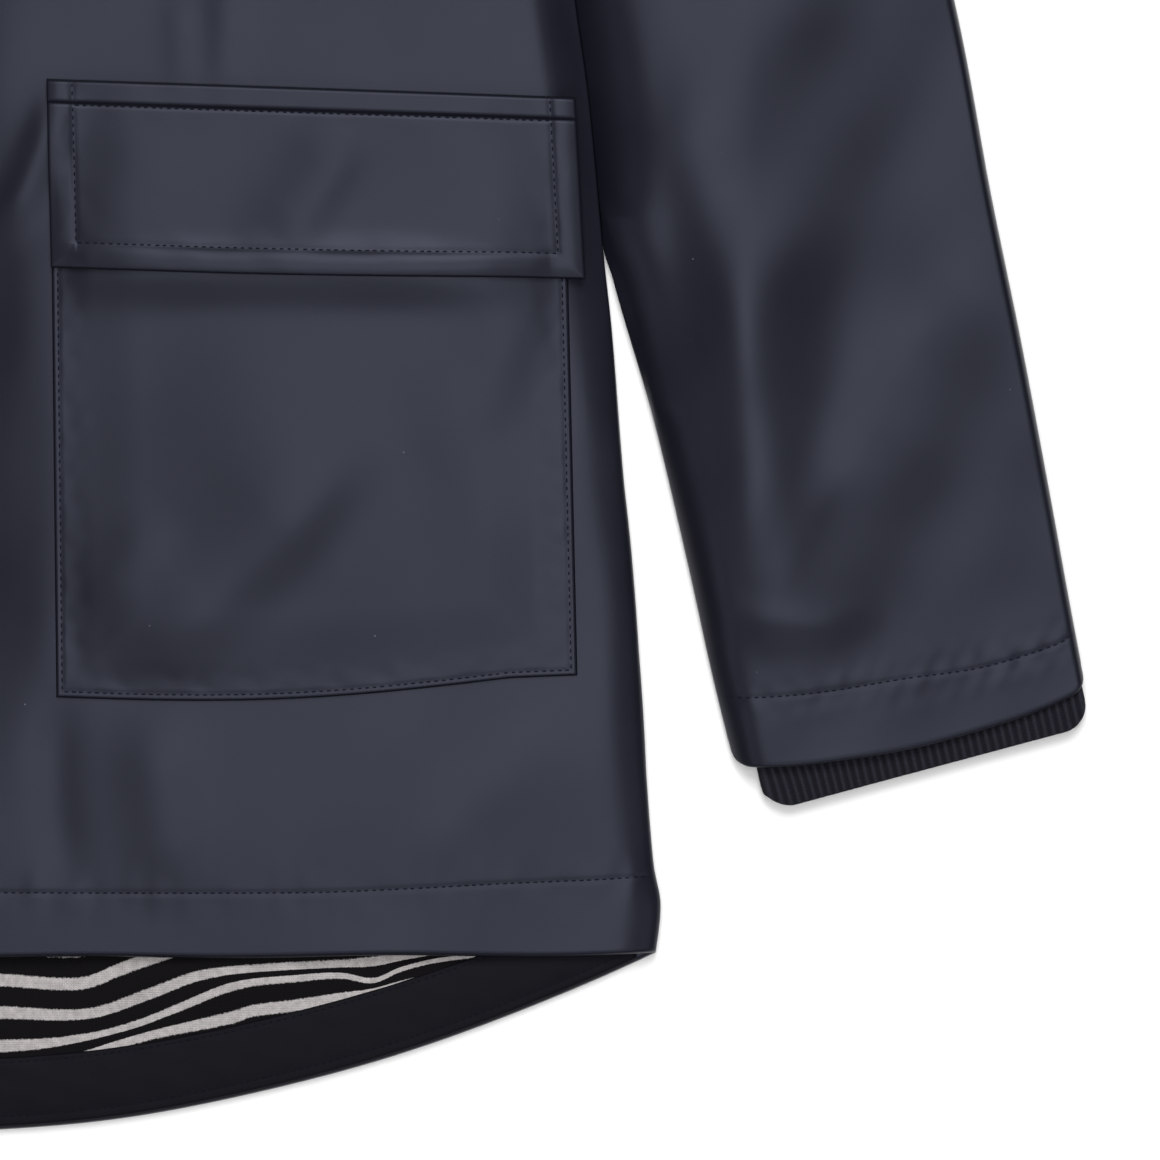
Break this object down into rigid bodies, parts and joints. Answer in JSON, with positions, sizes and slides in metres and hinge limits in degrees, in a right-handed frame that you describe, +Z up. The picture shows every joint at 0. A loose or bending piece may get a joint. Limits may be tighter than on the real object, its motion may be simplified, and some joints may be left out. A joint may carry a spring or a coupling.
{
  "type": "child's raincoat laid flat",
  "caption": "Lined hip-length child's raincoat lying flat, front up: patch pockets with flaps, snap placket, stand collar, dipped back hem and ribbed inner cuffs.",
  "frame": {"origin": "on the floor under the middle of the coat's outline, at its centre front", "axes": "+Z up from the floor, +Y towards the collar, +X towards the wearer's left sleeve"},
  "size_m": [0.7116, 0.6219, 0.0167],
  "materials": {
    "coated_cloth": "satin coated navy cloth",
    "striped_lining": "matt jersey with pale stripes",
    "rib_knit": "matt ribbed knit",
    "press_stud": "satin painted cap"
  },
  "bodies": {
    "root": {"back": "coated_cloth", "front_left": "coated_cloth", "front_right": "coated_cloth", "sleeve_left": "coated_cloth", "sleeve_right": "coated_cloth", "cuff_left": "rib_knit", "cuff_right": "rib_knit", "pocket_left": "coated_cloth", "pocket_right": "coated_cloth", "pocket_flap_left": "coated_cloth", "pocket_flap_right": "coated_cloth", "placket": "coated_cloth", "press_stud_1": "press_stud", "press_stud_2": "press_stud", "press_stud_3": "press_stud", "press_stud_4": "press_stud", "press_stud_5": "press_stud", "press_stud_6": "press_stud", "back_hem_facing": "coated_cloth", "lining_tail": "striped_lining", "lining_neck": "striped_lining", "collar": "coated_cloth"}
  },
  "joints": []
}
